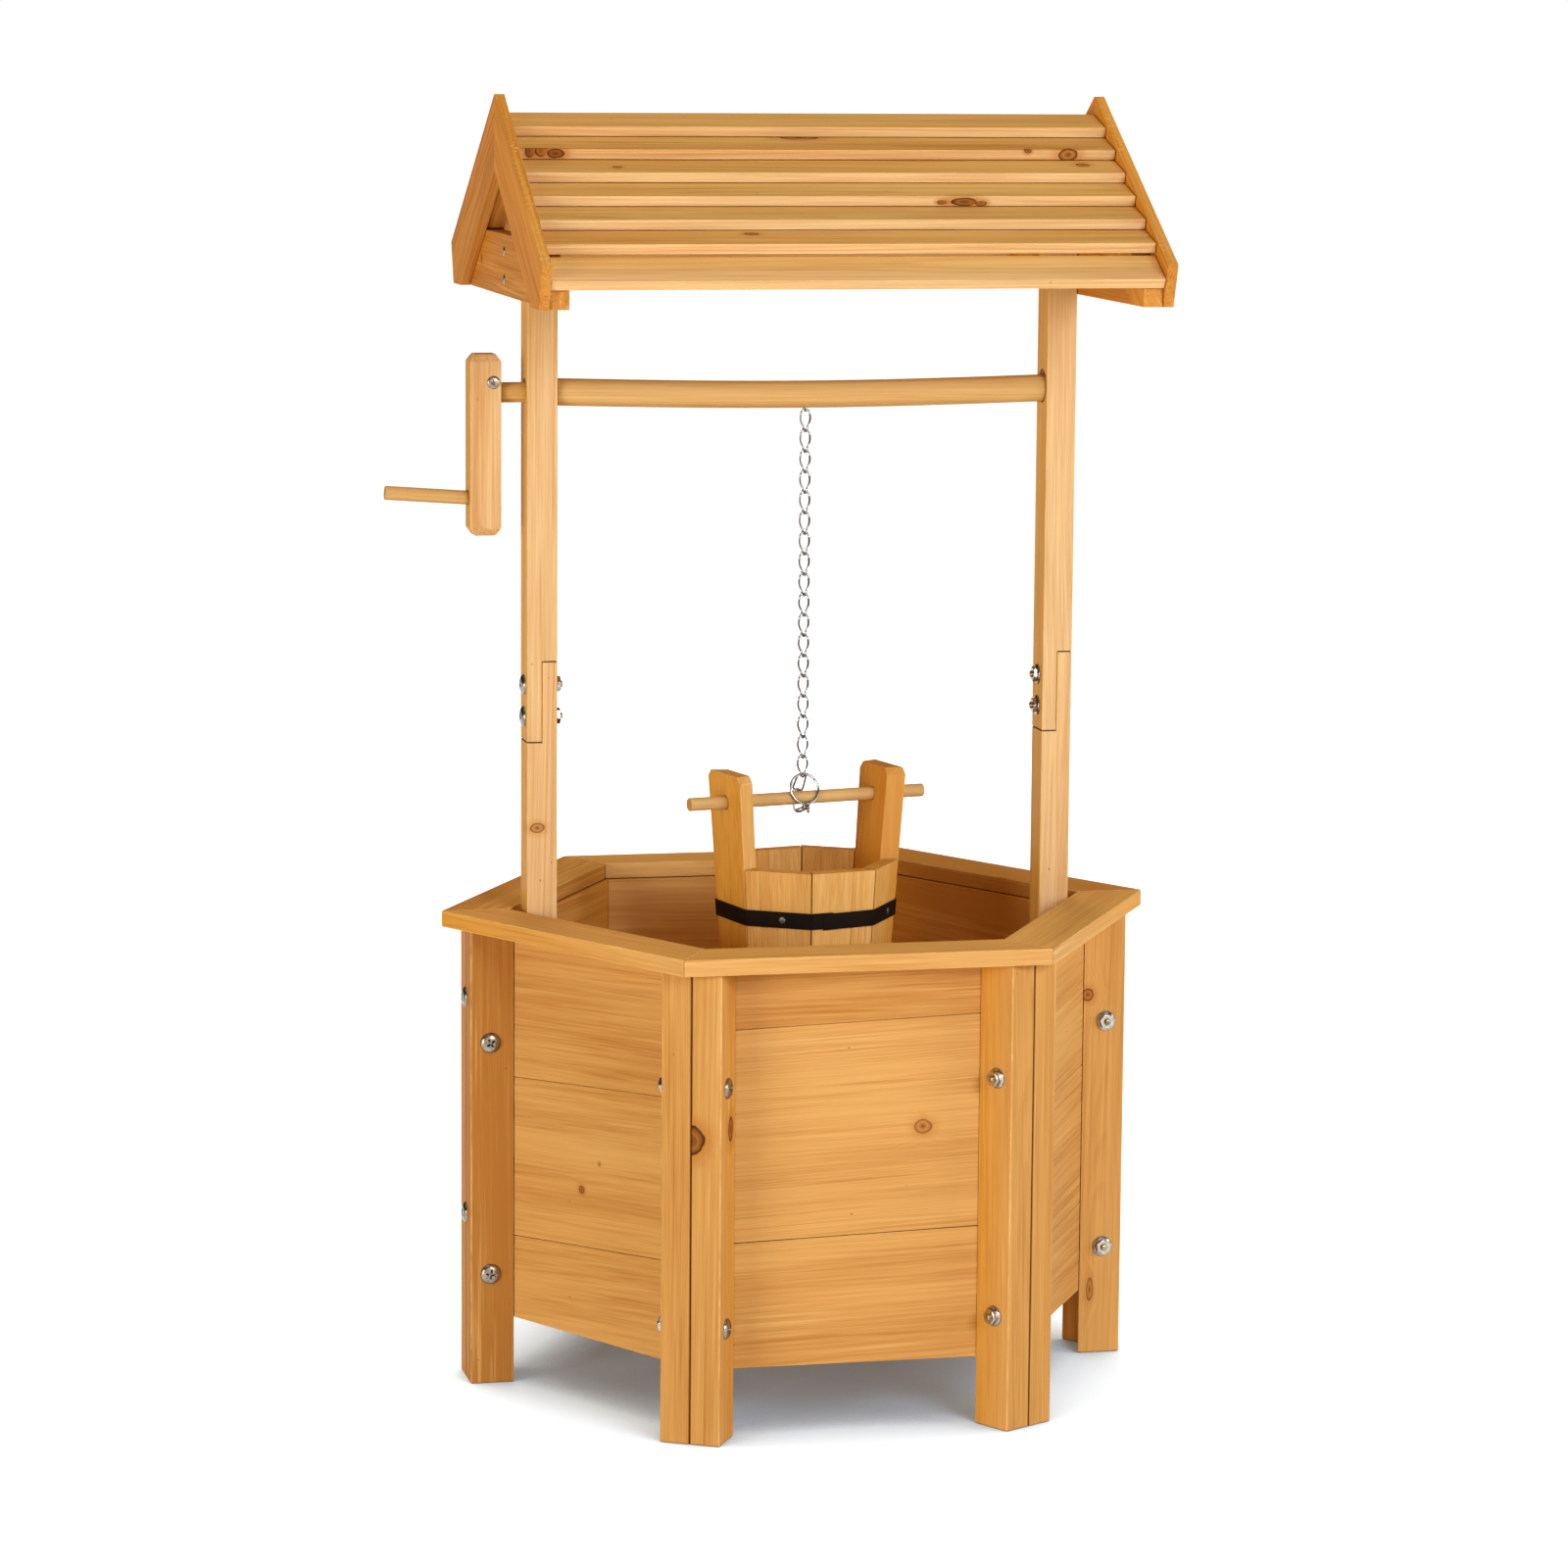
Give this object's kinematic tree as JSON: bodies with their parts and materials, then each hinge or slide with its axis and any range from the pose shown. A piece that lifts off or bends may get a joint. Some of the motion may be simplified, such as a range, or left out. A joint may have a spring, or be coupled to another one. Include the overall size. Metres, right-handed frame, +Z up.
{
  "type": "wishing well planter",
  "caption": "Hexagonal wooden planter made as a wishing well, with a slatted gable roof on posts and a cranked roller that lifts a stave bucket on a chain.",
  "frame": {"origin": "on the ground under the centre of the bounding box, 25 mm from the well's axis towards the crank", "axes": "+Z up, +X along the ridge away from the crank, -Y towards the front"},
  "size_m": [0.6998, 0.563, 1.1499],
  "materials": {
    "board_wood": "satin golden stain with visible grain and knots",
    "frame_wood": "satin golden stain, sawn edges",
    "roof_wood": "satin, slightly paler and pinker, rough sawn ends",
    "turned_wood": "smooth turned wood",
    "chain_steel": "zinc plated, shiny",
    "black_iron": "black, slightly worn"
  },
  "bodies": {
    "frame": {"back_bargeboard_left": "roof_wood", "back_bargeboard_right": "roof_wood", "back_left_panel": "board_wood", "back_left_rim_board": "board_wood", "back_left_strip_left": "frame_wood", "back_left_strip_right": "frame_wood", "back_panel": "board_wood", "back_right_panel": "board_wood", "back_right_rim_board": "board_wood", "back_right_strip_left": "frame_wood", "back_right_strip_right": "frame_wood", "back_rim_board": "board_wood", "back_slat_1": "roof_wood", "back_slat_2": "roof_wood", "back_slat_3": "roof_wood", "back_slat_4": "roof_wood", "back_slat_5": "roof_wood", "back_slat_6": "roof_wood", "back_slat_7": "roof_wood", "back_strip_left": "frame_wood", "back_strip_right": "frame_wood", "floor_board": "board_wood", "front_bargeboard_left": "roof_wood", "front_bargeboard_right": "roof_wood", "front_left_panel": "board_wood", "front_left_rim_board": "board_wood", "front_left_strip_left": "frame_wood", "front_left_strip_right": "frame_wood", "front_panel": "board_wood", "front_right_panel": "board_wood", "front_right_rim_board": "board_wood", "front_right_strip_left": "frame_wood", "front_right_strip_right": "frame_wood", "front_rim_board": "board_wood", "front_slat_1": "roof_wood", "front_slat_2": "roof_wood", "front_slat_3": "roof_wood", "front_slat_4": "roof_wood", "front_slat_5": "roof_wood", "front_slat_6": "roof_wood", "front_slat_7": "roof_wood", "front_strip_left": "frame_wood", "front_strip_right": "frame_wood", "gable_tie_left": "roof_wood", "gable_tie_right": "roof_wood", "left_lower_post": "frame_wood", "left_upper_post": "frame_wood", "right_lower_post": "frame_wood", "right_upper_post": "frame_wood"},
    "windlass": {"roller": "turned_wood", "crank_arm": "turned_wood", "crank_grip": "turned_wood"},
    "chain": {"chain": "chain_steel"},
    "chain_end": {"chain_end_link": "chain_steel"},
    "ring": {"bucket_ring": "chain_steel"},
    "bucket": {"bucket_band": "black_iron", "bucket_dowel": "turned_wood", "bucket_handle_stave_left": "board_wood", "bucket_handle_stave_right": "board_wood", "bucket_tub": "board_wood"}
  },
  "joints": [
    {"name": "crank_turn", "type": "hinge", "parent": "frame", "child": "windlass", "pos_m": [0.02498, 0, 0.88938], "axis": [1, 0, 0], "range_deg": [0, 720]},
    {"name": "bucket_swing", "type": "hinge", "parent": "frame", "child": "chain", "pos_m": [0.02937, 0, 0.87289], "axis": [1, 0, 0], "range_deg": [-5, 5]},
    {"name": "bucket_lift", "type": "slide", "parent": "chain", "child": "chain_end", "axis": [0, 0, 1], "range_m": [0, 0.1823], "deforming": ["chain"]},
    {"name": "bucket_turn", "type": "hinge", "parent": "chain_end", "child": "ring", "pos_m": [0.02937, 0, 0.5395], "axis": [0, 0, 1], "range_deg": [-30, 30]},
    {"name": "bucket_tip", "type": "hinge", "parent": "ring", "child": "bucket", "pos_m": [0.03386, 0.00103, 0.5215], "axis": [-0.9744, -0.225, 0], "range_deg": [-40, 40]}
  ],
  "couplings": [
    {"joint": "bucket_lift", "follows": "crank_turn", "m_per_rad": 0.0145}
  ]
}
